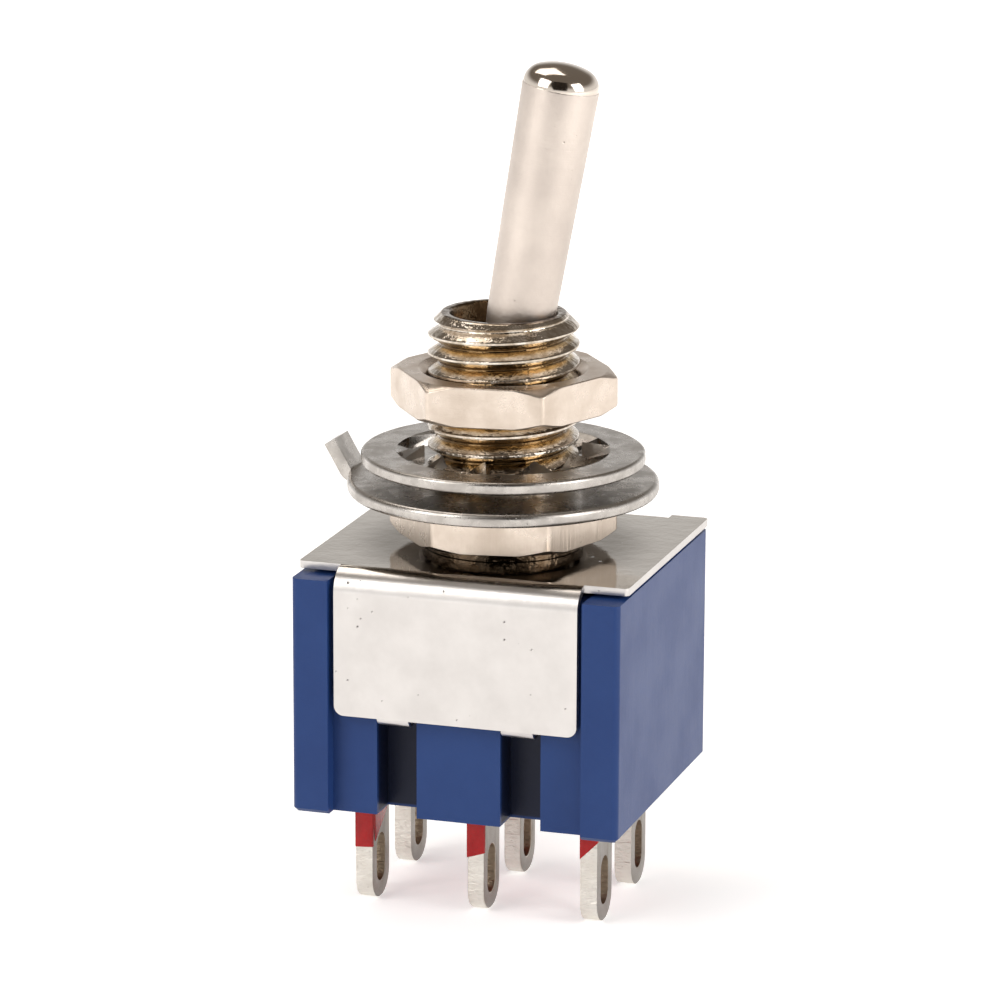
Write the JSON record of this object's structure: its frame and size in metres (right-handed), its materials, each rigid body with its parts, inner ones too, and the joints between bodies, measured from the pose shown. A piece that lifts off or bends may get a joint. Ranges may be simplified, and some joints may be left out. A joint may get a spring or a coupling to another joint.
{
  "type": "toggle switch",
  "caption": "Miniature double-pole toggle switch with a threaded panel bushing, metal frame, moulded case and solder lugs.",
  "frame": {"origin": "on the bushing's axis at the frame's top face, where the bushing's shoulder seats", "axes": "+Z out of the panel along the bushing; X along each row of three terminals, the way the lever swings, with the lever leaning to +X at rest and the keyway at -X; Y across the two poles"},
  "size_m": [0.0141, 0.0126, 0.0339],
  "materials": {
    "blue_case": "fine moulded satin",
    "nickel_sheet": "bright nickel on stamped sheet",
    "nickel_brass": "nickel on turned brass, warm in the thread",
    "nickel_lever": "satin nickel on turned brass, polished crown",
    "white_nylon": "natural nylon",
    "brass": "turned brass",
    "spring_steel": "drawn wire",
    "contact_silver": "silver on stamped copper alloy",
    "tinned_terminal": "silvered, with rough punched edges",
    "red_resin": "glossy sealing resin",
    "nickel_nut": "nickel, satin flats with fine machining marks",
    "nickel_washer": "nickel on stamped steel, grey satin"
  },
  "bodies": {
    "housing": {"case": "blue_case", "frame": "nickel_sheet", "bushing": "nickel_brass", "terminal_seal": "red_resin", "locating_ring": "nickel_washer", "lock_washer": "nickel_washer", "terminal_front_left": "tinned_terminal", "terminal_front_centre": "tinned_terminal", "terminal_front_right": "tinned_terminal", "terminal_rear_left": "tinned_terminal", "terminal_rear_centre": "tinned_terminal", "terminal_rear_right": "tinned_terminal"},
    "toggle": {"toggle_lever": "nickel_lever", "actuator": "white_nylon", "spring_front": "spring_steel", "spring_rear": "spring_steel"},
    "plunger_front": {"plunger_front": "brass"},
    "plunger_rear": {"plunger_rear": "brass"},
    "rocker_front": {"rocker_front": "contact_silver"},
    "rocker_rear": {"rocker_rear": "contact_silver"},
    "upper_nut": {"upper_nut": "nickel_nut"},
    "lower_nut": {"lower_nut": "nickel_nut"}
  },
  "joints": [
    {"name": "toggle", "type": "hinge", "parent": "housing", "child": "toggle", "pos_m": [0, 0, 0.0052], "axis": [0, 1, 0], "range_deg": [-19.6, 0]},
    {"name": "rocker_front", "type": "hinge", "parent": "housing", "child": "rocker_front", "pos_m": [0, -0.0024, -0.0061], "axis": [0, 1, 0], "range_deg": [0, 13]},
    {"name": "rocker_rear", "type": "hinge", "parent": "housing", "child": "rocker_rear", "pos_m": [0, 0.0024, -0.0061], "axis": [0, 1, 0], "range_deg": [0, 13]},
    {"name": "plunger_front", "type": "slide", "parent": "toggle", "child": "plunger_front", "axis": [0.1702, 0, 0.9854], "range_m": [0, 0.0003], "stiffness_N_per_m": 400, "deforming": ["spring_front"]},
    {"name": "plunger_rear", "type": "slide", "parent": "toggle", "child": "plunger_rear", "axis": [0.1702, 0, 0.9854], "range_m": [0, 0.0003], "stiffness_N_per_m": 400, "deforming": ["spring_rear"]},
    {"name": "upper_nut", "type": "hinge", "parent": "housing", "child": "upper_nut", "pos_m": [0, 0, 0.00636], "axis": [0, 0, 1], "continuous": true},
    {"name": "lower_nut", "type": "hinge", "parent": "housing", "child": "lower_nut", "pos_m": [0, 0, 0.00129], "axis": [0, 0, 1], "continuous": true}
  ],
  "couplings": [
    {"joint": "rocker_front", "follows": "toggle", "ratio": -0.66326},
    {"joint": "rocker_rear", "follows": "toggle", "ratio": -0.66326}
  ]
}
